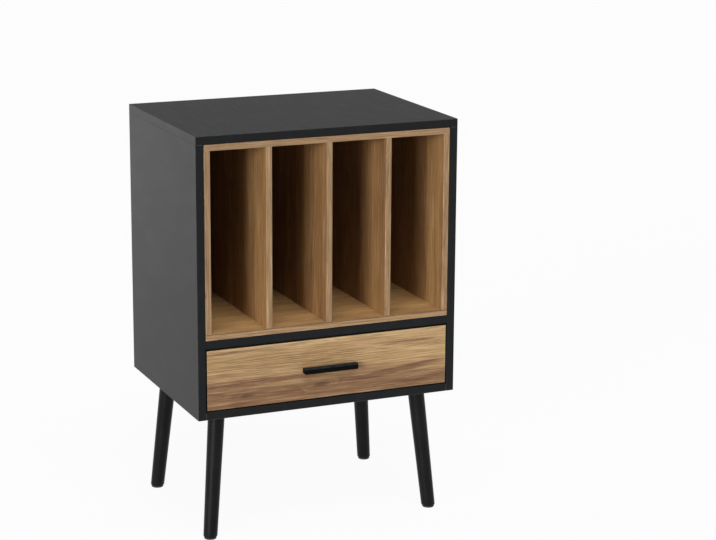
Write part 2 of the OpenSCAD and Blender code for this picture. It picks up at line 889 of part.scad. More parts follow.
// The left-hand side of the drawer; the right-hand one is its mirror image
module drawer_side() {
    color([0.24, 0.22, 0.2]) difference() {
        board([-drawer_w / 2, drawer_y, drawer_z],
              [-drawer_w / 2 + drawer_t, drawer_y + runner_l, drawer_z + drawer_side_h]);
        at_front_joint(drawer_cam_zs) cam_bore(drawer_t);
        at_front_joint(drawer_dowel_zs) dowel_bore(thin_dowel);
        at_back_joint() sunk_screw(long_screw, fit);
        drawer_sheet(sheet_play);
        at_runner_screws() screw(runner_screw, fit);
    }
}

module drawer_left_side() {
    drawer_side();
}

module drawer_right_side() {
    mirror([1, 0, 0]) drawer_side();
}

module drawer_back() {
    inner_x = drawer_w / 2 - drawer_t;
    color([0.24, 0.22, 0.2]) difference() {
        board([-inner_x, drawer_back_y, drawer_sheet_z + sheet_t],
              [inner_x, drawer_back_y + drawer_t, drawer_z + drawer_side_h]);
        both_sides() at_back_joint() sunk_screw(long_screw, fit);
        at_bottom_screws() screw(small_screw, fit);
    }
}

module drawer_bottom() {
    color([0.22, 0.2, 0.18]) difference() {
        drawer_sheet();
        at_bottom_screws() round_bar(small_screw[0] + 2 * fit, -over, sheet_t + over);
    }
}

module drawer_dowels() {
    color("burlywood") both_sides() at_front_joint(drawer_dowel_zs) dowel(thin_dowel);
}

module drawer_cam_bolts() {
    color("silver") both_sides() at_front_joint(drawer_cam_zs) cam_bolt();
}

module drawer_cam_locks() {
    color("gainsboro") both_sides() at_front_joint(drawer_cam_zs) cam_lock(drawer_t);
}

module drawer_screws() {
    color("silver") {
        both_sides() at_back_joint() sunk_screw(long_screw);
        at_bottom_screws() screw(small_screw);
    }
}

// The handle from above: a bar with rounded outer corners, and a post at each end
module handle_plan() {
    inner_l = handle_l - 2 * handle_post_w;
    gap_y = handle_reach - handle_bar_t;
    difference() {
        translate([-handle_l / 2, 0]) square([handle_l, handle_reach]);
        for (side = [-1, 1]) translate([side * handle_l / 2, handle_reach])
            rounding_cut(-side, -1, handle_corner_r);
        translate([-inner_l / 2, -over]) square([inner_l, gap_y + over - handle_fillet_r]);
        translate([-inner_l / 2 + handle_fillet_r, -over])
            square([inner_l - 2 * handle_fillet_r, gap_y + over]);
        for (side = [-1, 1])
            translate([side * (inner_l / 2 - handle_fillet_r), gap_y - handle_fillet_r])
                circle(handle_fillet_r);
    }
}

// What rounds off an outer corner at the origin, whose solid lies towards dx, dy
module rounding_cut(dx, dy, r) {
    difference() {
        translate([dx > 0 ? -over : -r, dy > 0 ? -over : -r]) square(r + over);
        translate([dx * r, dy * r]) circle(r);
    }
}

module handle_section() {
    difference() {
        translate([0, -handle_bar_h / 2]) square([handle_reach, handle_bar_h]);
        for (side = [-1, 1]) translate([handle_reach, side * handle_bar_h / 2])
            rounding_cut(-1, -side, handle_edge_r);
    }
}

module drawer_handle() {
    color([0.07, 0.07, 0.07]) difference() {
        translate([0, front_y, handle_z]) intersection() {
            rotate([180, 0, 0]) linear_extrude(handle_bar_h, center = true) handle_plan();
            rotate([90, 0, -90])
                linear_extrude(handle_l, center = true) handle_section();
        }
        at_handle_screws() round_bar(handle_screw[0] + 2 * fit, 0, handle_screw[1] + over);
    }
}

module handle_screws() {
    color("silver") at_handle_screws() screw(handle_screw);
}

top_panel();
left_side_panel();
right_side_panel();
middle_shelf();
bottom_panel();
cabinet_back_panel();
cabinet_dowels();
cabinet_cam_bolts();
cabinet_cam_locks();
leg_plate_front_left();
leg_plate_front_right();
leg_plate_back_left();
leg_plate_back_right();
leg_plate_screws();
leg_front_left();
leg_front_right();
leg_back_left();
leg_back_right();
leg_bolts();
foot_pads();
cabinet_rail_left();
cabinet_rail_right();
rail_screws();
rail_rivets();
rail_roller_left();
rail_roller_right();
box_top();
box_bottom();
box_left_side();
box_right_side();
box_divider_left();
box_divider_centre();
box_divider_right();
box_back_panel();
box_dowels();
box_cam_bolts();
box_cam_locks();
box_screws();
drawer_front();
drawer_left_side();
drawer_right_side();
drawer_back();
drawer_bottom();
drawer_dowels();
drawer_cam_bolts();
drawer_cam_locks();
drawer_screws();
drawer_handle();
handle_screws();
drawer_runner_left();
drawer_runner_right();
runner_screws();
runner_rivets();
runner_roller_left();
runner_roller_right();
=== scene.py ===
"""The looks of a record storage stand: a black laminated cabinet on four splayed legs, with a
pull-out box of four wood-look record compartments and a drawer on roller runners.

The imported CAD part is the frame, and its boards and fittings show as they are, each with a
procedural finish. The legs, the handle and the screws are surfaces worked out here.
Everything is in metres: +X is to the right of someone who faces the stand, -Y is its front
and +Z is up.
"""

import json
import math

import bpy
import numpy as np
from bpy.props import FloatProperty, FloatVectorProperty, PointerProperty
from mathutils import Matrix, Vector


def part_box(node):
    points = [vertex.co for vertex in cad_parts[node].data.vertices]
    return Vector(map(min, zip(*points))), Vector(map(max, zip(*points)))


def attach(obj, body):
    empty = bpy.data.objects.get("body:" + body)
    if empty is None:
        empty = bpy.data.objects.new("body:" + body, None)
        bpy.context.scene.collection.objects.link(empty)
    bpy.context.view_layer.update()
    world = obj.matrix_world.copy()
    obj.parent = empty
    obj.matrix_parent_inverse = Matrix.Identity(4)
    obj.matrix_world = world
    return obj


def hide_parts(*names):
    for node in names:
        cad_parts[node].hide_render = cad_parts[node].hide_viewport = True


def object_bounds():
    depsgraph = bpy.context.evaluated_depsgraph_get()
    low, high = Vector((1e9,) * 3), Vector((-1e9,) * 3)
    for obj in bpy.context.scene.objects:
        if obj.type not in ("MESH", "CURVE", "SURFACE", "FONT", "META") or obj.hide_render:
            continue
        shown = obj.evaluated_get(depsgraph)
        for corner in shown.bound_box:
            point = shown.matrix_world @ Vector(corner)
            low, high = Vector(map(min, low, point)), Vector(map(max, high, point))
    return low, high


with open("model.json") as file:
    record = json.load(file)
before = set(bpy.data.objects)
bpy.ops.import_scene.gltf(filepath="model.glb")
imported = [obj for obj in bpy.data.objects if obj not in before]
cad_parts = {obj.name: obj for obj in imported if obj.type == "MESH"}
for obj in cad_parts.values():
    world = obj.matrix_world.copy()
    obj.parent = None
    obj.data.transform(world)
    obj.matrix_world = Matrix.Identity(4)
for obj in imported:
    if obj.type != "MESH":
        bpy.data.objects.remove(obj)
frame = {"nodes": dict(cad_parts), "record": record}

bl_info = {
    "name": "Record storage stand",
    "version": (1, 0, 0),
    "blender": (4, 5, 0),
    "location": "3D View > Sidebar > Stand",
    "description": "Finishes, legs, handle, screws and studio of a record storage stand",
    "category": "Object",
}

NODES = frame["nodes"]
BODY_OF = {
    node: body
    for body, members in frame["record"]["behaviour"]["bodies"].items()
    for node in members
}
CAD_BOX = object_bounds()
FRONT_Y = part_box("top_panel")[0].y
BACK_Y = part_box("top_panel")[1].y
MID_Y = (FRONT_Y + BACK_Y) / 2
INNER_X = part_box("right_side_panel")[0].x
INNER_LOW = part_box("bottom_panel")[1].z
INNER_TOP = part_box("top_panel")[0].z


def srgb(red, green, blue):
    """A colour given in 0 to 255 on a screen, as linear red, green, blue and alpha."""
    share = np.array([red, green, blue]) / 255
    linear = np.where(share <= 0.04045, share / 12.92, ((share + 0.055) / 1.055) ** 2.4)
    return (*linear.tolist(), 1.0)


# ---- Settings ----

COLOUR = {"subtype": "COLOR", "size": 4, "min": 0, "max": 1}


class StandFinishSettings(bpy.types.PropertyGroup):
    """Colours and depths of the finishes."""

    laminate: FloatVectorProperty(
        name="Black laminate", description="Faces of the cabinet's boards",
        default=srgb(38, 37, 37), **COLOUR)
    edge_band: FloatVectorProperty(
        name="Black edge band", description="Front edges of the cabinet's boards",
        default=srgb(9, 11, 13), **COLOUR)
    wood_light: FloatVectorProperty(
        name="Wood, light", description="The lightest tone of the printed wood",
        default=srgb(212, 181, 131), **COLOUR)
    wood_middle: FloatVectorProperty(
        name="Wood, middle", description="The middle tone of the printed wood",
        default=srgb(189, 154, 108), **COLOUR)
    wood_dark: FloatVectorProperty(
        name="Wood, dark", description="The darkest broad tone of the printed wood",
        default=srgb(136, 102, 71), **COLOUR)
    wood_grain: FloatVectorProperty(
        name="Wood grain", description="The rings and pores of the printed wood",
        default=srgb(84, 58, 40), **COLOUR)
    wood_band: FloatVectorProperty(
        name="Wood edge band", description="Front edges of the record box's boards",
        default=srgb(160, 131, 99), **COLOUR)
    pore_depth: FloatProperty(
        name="Pore depth", description="Depth of the pores pressed into the laminate",
        subtype="DISTANCE", min=0, max=0.001, default=0.00008)
    leg_paint: FloatVectorProperty(
        name="Leg paint", description="Satin paint of the legs",
        default=srgb(9, 9, 9), **COLOUR)


class StandShapeSettings(bpy.types.PropertyGroup):
    """Sizes of the pieces that are worked out here."""

    leg_spread_x: FloatProperty(
        name="Leg spread X", description="Distance of the legs' tops from the middle, sideways",
        subtype="DISTANCE", default=0.197)
    leg_spread_y: FloatProperty(
        name="Leg spread Y", description="Distance of the legs' tops from the middle, in depth",
        subtype="DISTANCE", default=0.132)
    leg_h: FloatProperty(
        name="Leg height", description="Height of the cabinet above the floor",
        subtype="DISTANCE", default=0.235)
    leg_lean: FloatProperty(
        name="Leg lean", description="Angle by which a leg leans outwards",
        subtype="ANGLE", default=math.radians(7))
    leg_turn: FloatProperty(
        name="Leg turn", description="Angle between sideways and the way a leg leans",
        subtype="ANGLE", default=math.radians(42))
    leg_top_d: FloatProperty(
        name="Leg top", description="Diameter of a leg at its top",
        subtype="DISTANCE", default=0.0305)
    leg_foot_d: FloatProperty(
        name="Leg foot", description="Diameter of a leg at the floor",
        subtype="DISTANCE", default=0.0255)
    leg_seat: FloatProperty(
        name="Leg seat", description="Depth of a leg's top in its plate's boss",
        subtype="DISTANCE", default=0.010)
    pad_h: FloatProperty(
        name="Foot pad height", description="Height of a leg's level cut above the floor",
        subtype="DISTANCE", default=0.003)
    foot_rounding: FloatProperty(
        name="Foot rounding", description="Radius of the edge round a leg's foot",
        subtype="DISTANCE", default=0.003)
    handle_l: FloatProperty(
        name="Handle length", description="Length of the handle's bar",
        subtype="DISTANCE", default=0.103)
    handle_reach: FloatProperty(
        name="Handle reach", description="How far the handle stands out from the drawer",
        subtype="DISTANCE", default=0.015)
    handle_bar_h: FloatProperty(
        name="Handle bar height", description="Height of the handle's bar",
        subtype="DISTANCE", default=0.0113)
    handle_bar_t: FloatProperty(
        name="Handle bar thickness", description="Thickness of the handle's bar, in depth",
        subtype="DISTANCE", default=0.0102)
    handle_post_w: FloatProperty(
        name="Handle post width", description="Width of the handle's posts",
        subtype="DISTANCE", default=0.007)
    handle_spacing: FloatProperty(
        name="Handle spacing", description="Distance between the middles of the handle's posts",
        subtype="DISTANCE", default=0.096)


class StandStudioSettings(bpy.types.PropertyGroup):
    """The floor, the lamps and the camera."""

    floor: FloatVectorProperty(
        name="Floor", description="Colour of the floor and the backdrop",
        default=(0.86, 0.86, 0.86, 1), **COLOUR)
    surround: FloatProperty(
        name="Surround", description="Strength of the even light from all round",
        min=0, max=2, default=0.22)
    overhead: FloatProperty(
        name="Overhead", description="How bright the studio above the stand looks in its gloss",
        min=0, max=1, default=0.2)
    side_lamp: FloatProperty(
        name="Side lamp", description="Strength of the low lamp at the front left",
        min=0, max=10, default=2.4)
    side_lamp_side: FloatProperty(
        name="Side lamp's side", description="How far to the left of the front it stands",
        subtype="ANGLE", default=math.radians(52))
    side_lamp_height: FloatProperty(
        name="Side lamp's height", description="Angle of the lamp above the floor",
        subtype="ANGLE", default=math.radians(9))
    side_lamp_softness: FloatProperty(
        name="Side lamp's softness", description="How wide the lamp looks from the stand",
        subtype="ANGLE", default=math.radians(25))
    high_lamp: FloatProperty(
        name="High lamp", description="Strength of the high soft lamp in front",
        min=0, max=10, default=1.3)
    high_lamp_side: FloatProperty(
        name="High lamp's side", description="How far to the left of the front it stands",
        subtype="ANGLE", default=math.radians(6))
    high_lamp_height: FloatProperty(
        name="High lamp's height", description="Angle of the lamp above the floor",
        subtype="ANGLE", default=math.radians(61))
    high_lamp_softness: FloatProperty(
        name="High lamp's softness", description="How wide the lamp looks from the stand",
        subtype="ANGLE", default=math.radians(34))
    strip_lamp: FloatProperty(
        name="Strip lamp", description="Power of the tall soft lamp behind the stand, in watts",
        min=0, max=100, default=1.7)
    strip_place: FloatVectorProperty(
        name="Strip lamp's place", description="Where the middle of the strip lamp stands",
        subtype="TRANSLATION", size=3, default=(-0.8, 2.1, 0.45))
    camera_yaw: FloatProperty(
        name="Camera yaw", description="How far the camera looks to the right of straight on",
        subtype="ANGLE", default=math.radians(23.6915))
    camera_pitch: FloatProperty(
        name="Camera pitch", description="How far the camera looks down",
        subtype="ANGLE", default=math.radians(13.8756))
    camera_roll: FloatProperty(
        name="Camera roll", description="How far the camera is turned about its own axis",
        subtype="ANGLE", default=math.radians(0.3641))
    camera_place: FloatVectorProperty(
        name="Camera place", description="Where the camera stands",
        subtype="TRANSLATION", size=3, default=(-1.4454, -3.5984, 1.4052))
    camera_lens: FloatProperty(
        name="Lens", description="Focal length for a frame 36 mm wide, in millimetres",
        min=10, max=300, default=107.85)


# ---- Materials ----

WHITE = (1, 1, 1, 1)


class Shader:
    """Adds nodes to the tree of one material or world and joins them. A value given to a
    socket may be another node's output, a number or a colour."""

    def __init__(self, name, kind="materials"):
        self.owner = getattr(bpy.data, kind).new(name)
        self.owner.use_nodes = True
        self.tree = self.owner.node_tree
        self.tree.nodes.clear()

    def add(self, kind, sockets=None, **settings):
        node = self.tree.nodes.new("ShaderNode" + kind)
        for key, value in settings.items():
            setattr(node, key, value)
        for key, value in (sockets or {}).items():
            if isinstance(value, bpy.types.NodeSocket):
                self.tree.links.new(value, node.inputs[key])
            else:
                node.inputs[key].default_value = value
        return node

    def math(self, operation, a, b=0.0):
        return self.add("Math", {0: a, 1: b}, operation=operation).outputs[0]

    def chain(self, operation, values):
        """One math node after another, over all the values."""
        out = values[0]
        for value in values[1:]:
            out = self.math(operation, out, value)
        return out

    def total(self, *values):
        return self.chain("ADD", values)

    def product(self, *values):
        return self.chain("MULTIPLY", values)

    def noise(self, x, y, z=0.0, scale=1.0, detail=2.0, roughness=0.5, seed=0.0):
        """Noise between 0 and 1 at x, y, z, with its own seed."""
        where = self.add("CombineXYZ", {0: x, 1: y, 2: z}).outputs[0]
        return self.add("TexNoise", {
            "Vector": where, "W": seed, "Scale": scale, "Detail": detail,
            "Roughness": roughness}, noise_dimensions="4D").outputs["Fac"]

    def step(self, value, low, high, out_low=0.0, out_high=1.0):
        """Goes smoothly from out_low to out_high as value goes from low to high. Low may be the
        larger of the two."""
        return self.add("MapRange", {
            "Value": value, "From Min": low, "From Max": high, "To Min": out_low,
            "To Max": out_high}, interpolation_type="SMOOTHSTEP").outputs[0]

    def away(self, value, centre):
        """The distance between value and centre."""
        return self.math("ABSOLUTE", self.total(value, -centre))

    def near(self, value, centre, half, full=0.0):
        """1 where value is within full of the centre, falling smoothly to 0 at half from it."""
        return self.step(self.away(value, centre), half, full)

    def inside(self, value, low, high):
        """How far value lies inside the nearer of two limits, which is negative beyond them."""
        return self.math("SUBTRACT", (high - low) / 2, self.away(value, (low + high) / 2))

    def edge_distance(self, place, box):
        """How far a point on a box's surface lies from the nearest edge: the middle one of its
        three distances to the box's faces."""
        a, b, c = (self.inside(value, low, high) for value, low, high in zip(place, *box))
        least = self.math("MINIMUM", a, b)
        most = self.math("MAXIMUM", a, b)
        return self.math("MAXIMUM", least, self.math("MINIMUM", most, c))

    def front_band(self, y):
        """A board's front edge band and the hairline behind it, each as a share from 0 to 1."""
        depth, blur, seam_depth, seam_half = 0.00094, 0.00002, 0.00098, 0.00014
        band = self.step(y, FRONT_Y + depth + blur, FRONT_Y + depth - blur)
        return band, self.near(y, FRONT_Y + seam_depth, seam_half)

    def blend(self, factor, a, b, how="MIX"):
        return self.add("Mix", {0: factor, 6: a, 7: b}, data_type="RGBA",
                        blend_type=how).outputs[2]

    def ramp(self, factor, stops):
        node = self.add("ValToRGB", {0: factor})
        elements = node.color_ramp.elements
        while len(elements) < len(stops):
            elements.new(0.5)
        for element, (place, colour) in zip(elements, stops):
            element.position = place
            element.color = colour
        return node.outputs[0]

    def place(self):
        """The point's X, Y and Z in the row frame, in metres."""
        where = self.add("TexCoord").outputs["Object"]
        return self.add("SeparateXYZ", {0: where}).outputs[:3]

    def bump(self, height, distance, strength):
        return self.add("Bump", {"Height": height, "Distance": distance,
                                 "Strength": strength}).outputs[0]

    def finish(self, colour, roughness, normal, specular=0.5, metallic=0.0):
        """Ends the material in one shader and returns it."""
        shader = self.add("BsdfPrincipled", {
            "Base Color": colour, "Roughness": roughness, "Normal": normal,
            "Specular IOR Level": specular, "Metallic": metallic})
        self.add("OutputMaterial", {0: shader.outputs[0]})
        return self.owner


def black_laminate(name, box, seed, settings):
    """Satin black laminate with a fine pearl texture, a faint cloudiness, a painted highlight
    along its outer edges and a front edge band with a hairline behind it. Faces inside the
    cabinet are matt and painted a deeper black, a painted shade for the gaps round the drawer."""
    s = Shader(name)
    x, y, z = s.place()
    cloud = s.noise(x, y, z, scale=9, detail=4, seed=seed)
    pearl = s.noise(x, y, z, scale=1500, detail=1, seed=seed + 3)
    smear = s.noise(s.product(x, 5), y, s.product(z, 2), scale=14, detail=5, roughness=0.65,
                    seed=seed + 5)
    ragged = s.noise(x, y, z, scale=220, detail=3, seed=seed + 7)
    inward = s.math("MINIMUM", s.inside(x, -INNER_X, INNER_X),
                    s.inside(z, INNER_LOW, INNER_TOP))
    # Painted highlight along the outer arrises, broken up by ragged noise
    arris_highlight = s.product(s.step(s.edge_distance((x, y, z), box), 0.0012, 0.0002),
                       s.step(ragged, 0.36, 0.62, 0.35, 1.0), s.step(inward, -0.002, -0.004))
    # Painted shade: faces inside the cabinet, just behind its front, get a deeper matt black so
    # the gaps round the drawer look dark
    inside_shade = s.product(s.step(inward, -0.0004, -0.0001),
                      s.step(y, FRONT_Y + 0.0002, FRONT_Y + 0.0006))
    band, seam = s.front_band(y)
    colour = s.blend(s.step(cloud, 0.3, 0.75, 0.0, 0.5), settings.laminate, srgb(39, 38, 38))
    colour = s.blend(s.step(smear, 0.5, 0.72, 0.0, 0.4), colour, srgb(52, 51, 50))
    dusty = s.blend(s.step(smear, 0.45, 0.7, 0.0, 0.4), settings.edge_band, srgb(26, 27, 29))
    colour = s.blend(band, colour, dusty)
    # The deeper black of the painted shade inside the cabinet
    matt = s.blend(s.step(cloud, 0.3, 0.75), srgb(6, 6, 6), srgb(13, 13, 13))
    colour = s.blend(inside_shade, colour, matt)
    colour = s.blend(s.product(arris_highlight, 0.6), colour, srgb(84, 85, 88))
    colour = s.blend(s.product(seam, 0.8), colour, srgb(4, 4, 4))
    roughness = s.total(0.42, s.product(smear, 0.14), s.product(pearl, 0.05),
                        s.product(arris_highlight, -0.08), s.product(inside_shade, 0.6))
    normal = s.bump(s.total(pearl, s.product(seam, -2.0)), 0.00003, 0.6)
    return s.finish(colour, roughness, normal, specular=0.22)


class WoodShader(Shader):
    """One board of printed wood. g is the point's place along the grain, across that over the
    wider of the other two sides, and u the sum of those over both, so that the print runs on
    over the edges."""

    def __init__(self, name, box, grain, seed):
        super().__init__(name)
        self.seed = seed
        self.point = self.place()
        sizes = [high - low for low, high in zip(*box)]
        along = "XYZ".index(grain)
        wide, thin = sorted((i for i in range(3) if i != along), key=lambda i: -sizes[i])
        self.g, self.across = self.point[along], self.point[wide]
        self.u = self.math("ADD", self.across, self.point[thin])
        self.u_low = box[0][wide] + box[0][thin]
        self.width = sizes[wide]

    def stretched(self, per_g, per_u, detail, offset, roughness=0.5):
        """Noise at g and u, each times the number given for it."""
        return self.noise(self.product(self.g, per_g), self.product(self.u, per_u),
                          detail=detail, roughness=roughness, seed=self.seed + offset)

    def sway(self, noise, amount):
        """Noise as a shift by up to half the amount, either way."""
        return self.product(self.total(noise, -0.5), amount)

    def knots(self, knots):
        """The humps by which knots push the rings aside, and their dark ragged eyes, both drawn
        out along the grain."""
        hump, eye, drawn_out = 0.0, 0.0, 3.2
        for knot_g, knot_across, size in knots:
            dg = self.math("DIVIDE", self.total(self.g, -knot_g), size * drawn_out)
            du = self.math("DIVIDE", self.total(self.across, -knot_across), size)
            square = self.total(self.product(dg, dg), self.product(du, du))
            frayed = self.total(square, self.sway(self.stretched(60, 260, 3, 10), 2.4))
            hump = self.total(hump, self.math("EXPONENT", self.product(square, -0.5)))
            eye = self.math("MAXIMUM", eye, self.step(frayed, 1.3, -0.2))
        return hump, eye

    def rings(self, bent, hump, middle, rise):
        """The late wood of each ring. A ring ends where count * ((u - middle)^2 / spread
        + rise * g + push * hump) passes a whole number, which draws nested arches. Bent is u
        with noise added."""
        count, spread, push = 36.0, 0.012, 0.12
        off = self.total(bent, -self.u_low - middle * self.width)
        arch = self.total(self.math("DIVIDE", self.product(off, off), spread),
                          self.product(self.g, rise), self.product(hump, push))
        ring = self.math("FRACT", self.product(arch, count))
        return self.product(self.step(ring, 0.5, 0.9), self.step(ring, 1.0, 0.9))

    def streaks(self, base, streaks, drift):
        """Lays darker bands over base."""
        torn = self.step(self.stretched(6, 260, 3, 12), 0.32, 0.56, 0.45, 1.0)
        for streak_g, streak_across, slope, half_width, half_length, depth in streaks:
            dg = self.total(self.g, -streak_g)
            du = self.total(self.across, -streak_across, self.product(dg, -slope),
                            self.sway(drift, 0.010))
            side = self.near(du, 0.0, half_width, 0.45 * half_width)
            end = self.near(dg, 0.0, half_length, 0.4 * half_length)
            base = self.blend(self.product(side, end, torn, depth), base, srgb(114, 74, 54))
        return base


def printed_wood(name, box, grain, seed, settings, tilt=0.0, knots=(), streaks=(), dim=0.0,
                 rise=0.35, middle=0.5, shade=(1, 1, 1), banded=True, lipped=False, falls=(),
                 gap_shaded_edges=False):
    """Laminate printed as rustic oak.

    The tone runs from dark to light with broad noise that is stretched along the grain, plus
    tilt times the height across the board, less dim, and falls by an amount below each height
    in falls. Shade multiplies the colour. Dashes and pores are short and thin, along the
    grain. A banded board has a front edge band of its own tone, with a hairline behind it. On
    a lipped one a dark line parts that band from the top. Gap-shaded edges are painted dark
    brown above, below and at the sides, a painted shade for the gaps round the board. The
    arrises carry a painted highlight."""
    s = WoodShader(name, box, grain, seed)
    x, y, z = s.point
    low, high = box
    wander = s.stretched(3.2, 16, 3, 1)
    drift = s.stretched(14, 60, 2, 2)
    hump, eye = s.knots(knots)
    bent = s.total(s.u, s.sway(wander, 0.030), s.sway(drift, 0.005))
    late = s.rings(bent, hump, middle, rise)
    strength = s.step(s.stretched(5, 34, 2, 3), 0.33, 0.66)

    height = s.math("DIVIDE", s.total(s.u, -s.u_low - s.width / 2), s.width / 2)
    tone = s.total(0.5, s.sway(s.stretched(1.5, 26, 2, 4), 1.3), s.product(height, tilt), -dim)
    for line, amount in falls:
        bent_up = s.total(s.across, s.sway(wander, 0.02))
        tone = s.total(tone, s.step(bent_up, line - 0.005, line + 0.005, -amount, 0.0))
    base = s.ramp(tone, [(0.14, settings.wood_dark), (0.5, settings.wood_middle),
                         (0.8, settings.wood_light)])
    rusty = s.step(s.stretched(2.2, 75, 3, 5), 0.52, 0.66)
    base = s.blend(s.product(rusty, 0.4), base, srgb(152, 112, 80))
    base = s.streaks(base, streaks, drift)
    base = s.blend(1.0, base, (*shade, 1), "MULTIPLY")
    if banded:
        band, seam = s.front_band(y)
        base = s.blend(s.product(band, 0.75), base, settings.wood_band)
        base = s.blend(s.product(seam, 0.7), base, srgb(74, 52, 36))

    fibre = s.stretched(13, 700, 3, 6, 0.6)
    base = s.blend(s.step(fibre, 0.3, 0.55, 0.5, 0.0), base, settings.wood_grain)
    base = s.blend(s.step(fibre, 0.48, 0.7, 0.0, 0.3), base, srgb(236, 206, 160))
    base = s.blend(s.product(late, strength, 0.5), base, settings.wood_grain)
    patchy = s.step(s.stretched(4, 70, 2, 8), 0.35, 0.65, 0.3, 1.0)
    dash = s.product(s.step(s.stretched(26, 760, 2, 11), 0.5, 0.62), patchy)
    base = s.blend(s.product(dash, 0.42), base, srgb(98, 68, 46))
    pore = s.product(s.step(s.stretched(46, 1500, 1, 7), 0.62, 0.72), patchy)
    base = s.blend(s.product(pore, 0.6), base, srgb(62, 42, 28))
    base = s.blend(s.product(hump, 0.34), base, srgb(124, 88, 58))
    base = s.blend(s.product(eye, 0.62), base, srgb(62, 44, 30))

    if lipped:
        depth = 0.0016
        lip = s.product(s.near(z, high.z - depth / 2, depth), band, 0.85)
        base = s.blend(lip, base, srgb(84, 54, 34))
    # Painted shade: the narrow sides behind the front face are darkened to dark brown, for the
    # shade in the gaps round the drawer front
    if gap_shaded_edges:
        inward = s.math("MINIMUM", s.inside(x, low.x, high.x), s.inside(z, low.z, high.z))
        side = s.product(s.step(inward, 0.0004, 0.0002),
                         s.step(y, FRONT_Y + 0.0004, FRONT_Y + 0.0007), 0.88)
        base = s.blend(side, base, srgb(30, 22, 16))
    # Painted highlight along the arrises, broken up by ragged noise
    ragged = s.noise(x, y, z, scale=180, detail=3, seed=seed + 9)
    arris_highlight = s.product(s.step(s.edge_distance(s.point, box), 0.0012, 0.0),
                       s.step(ragged, 0.3, 0.7), 0.18)
    base = s.blend(arris_highlight, base, srgb(226, 206, 174))
    relief = s.total(s.product(pore, -1.0), s.product(dash, -0.6), s.product(fibre, 0.35),
                     s.product(late, -0.3))
    roughness = s.total(0.5, s.product(pore, 0.2), s.product(fibre, 0.1))
    return s.finish(base, roughness, s.bump(relief, settings.pore_depth, 0.8), specular=0.3)


def painted_hardboard(name, seed):
    """The back sheet: hardboard with a thin matt black coat, which its fibres show through."""
    s = Shader(name)
    x, y, z = s.place()
    fibres = s.noise(x, y, z, scale=260, detail=5, roughness=0.7, seed=seed)
    cloud = s.noise(x, y, z, scale=7, detail=4, seed=seed + 1)
    colour = s.blend(s.step(fibres, 0.35, 0.7), srgb(40, 38, 36), srgb(66, 62, 58))
    colour = s.blend(s.step(cloud, 0.35, 0.7, 0.0, 0.3), colour, srgb(50, 48, 46))
    roughness = s.total(0.62, s.product(fibres, 0.2))
    return s.finish(colour, roughness, s.bump(fibres, 0.0002, 0.5), specular=0.25)


def satin_paint(name, colour, seed):
    """Sprayed satin paint: an orange-peel skin, and a little cloudiness in its sheen."""
    s = Shader(name)
    x, y, z = s.place()
    peel = s.noise(x, y, z, scale=900, detail=2, seed=seed)
    cloud = s.noise(x, y, z, scale=26, detail=4, seed=seed + 1)
    tone = s.blend(s.step(cloud, 0.35, 0.7, 0.0, 0.25), colour, srgb(30, 30, 31))
    roughness = s.total(0.32, s.product(cloud, 0.16))
    return s.finish(tone, roughness, s.bump(peel, 0.00006, 0.5), specular=0.14)


def powder_coat(name, colour, seed, top=None):
    """Powder coat: a hammered skin whose tops are a little lighter. Where the height top is
    given, the last millimetres below it carry a patchy painted highlight."""
    s = Shader(name)
    x, y, z = s.place()
    hammered = s.noise(x, y, z, scale=1100, detail=2, seed=seed)
    tone = s.blend(s.step(hammered, 0.4, 0.8, 0.0, 0.2), colour, srgb(40, 40, 42))
    if top is not None:
        # Painted highlight: the last millimetres below the top are painted paler, in patches
        highlight_patches = s.noise(x, y, z, scale=70, detail=3, seed=seed + 2)
        top_highlight = s.product(s.step(z, top - 0.0035, top - 0.0005),
                          s.step(highlight_patches, 0.3, 0.6, 0.55, 1.0))
        tone = s.blend(top_highlight, tone, srgb(42, 44, 46))
    roughness = s.total(0.42, s.product(hammered, 0.2))
    return s.finish(tone, roughness, s.bump(hammered, 0.00004, 0.7), specular=0.05)


def plated_steel(name, colour, roughness, seed):
    """Zinc-plated metal: fine scratches, and patches of duller plating."""
    s = Shader(name)
    x, y, z = s.place()
    patch = s.noise(x, y, z, scale=140, detail=4, seed=seed)
    scratch = s.noise(s.product(x, 4), y, s.product(z, 9), scale=420, detail=2, seed=seed + 1)
    tone = s.blend(s.step(patch, 0.4, 0.7, 0.0, 0.4), colour, srgb(150, 150, 152))
    rough = s.total(roughness, s.product(patch, 0.22))
    return s.finish(tone, rough, s.bump(scratch, 0.00002, 0.6), metallic=1.0)


def moulded_plastic(name, colour, roughness, seed):
    """Moulded plastic: a faint flow pattern and a fine matt skin."""
    s = Shader(name)
    x, y, z = s.place()
    flow = s.noise(x, y, z, scale=90, detail=3, seed=seed)
    fine = s.noise(x, y, z, scale=2200, detail=1, seed=seed + 1)
    darker = (*(0.8 * value for value in colour[:3]), 1.0)
    tone = s.blend(s.step(flow, 0.35, 0.7, 0.0, 0.5), colour, darker)
    rough = s.total(roughness, s.product(flow, 0.1))
    return s.finish(tone, rough, s.bump(fine, 0.00002, 0.5))


def plain_wood(name, colour, seed):
    """Bare turned beech: fine flecks, drawn out along X."""
    s = Shader(name)
    x, y, z = s.place()
    fleck = s.noise(s.product(x, 60), s.product(y, 700), s.product(z, 700), detail=3, seed=seed)
    tone = s.blend(s.step(fleck, 0.4, 0.7), colour, srgb(150, 112, 70))
    return s.finish(tone, s.total(0.55, s.product(fleck, 0.2)), s.bump(fleck, 0.00005, 0.5))


def dress(node, material):
    """Gives a CAD node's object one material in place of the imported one."""
    mesh = NODES[node].data
    mesh.materials.clear()
    mesh.materials.append(material)


def settings_of(context):
    scene = context.scene
    return scene.stand_finish, scene.stand_shape, scene.stand_studio


# ---- Surfaces ----

CREASE = math.radians(38)  # an edge that turns by more than this stays sharp


def new_object(name, data):
    """A new object in the scene."""
    obj = bpy.data.objects.new(name, data)
    bpy.context.scene.collection.objects.link(obj)
    return obj


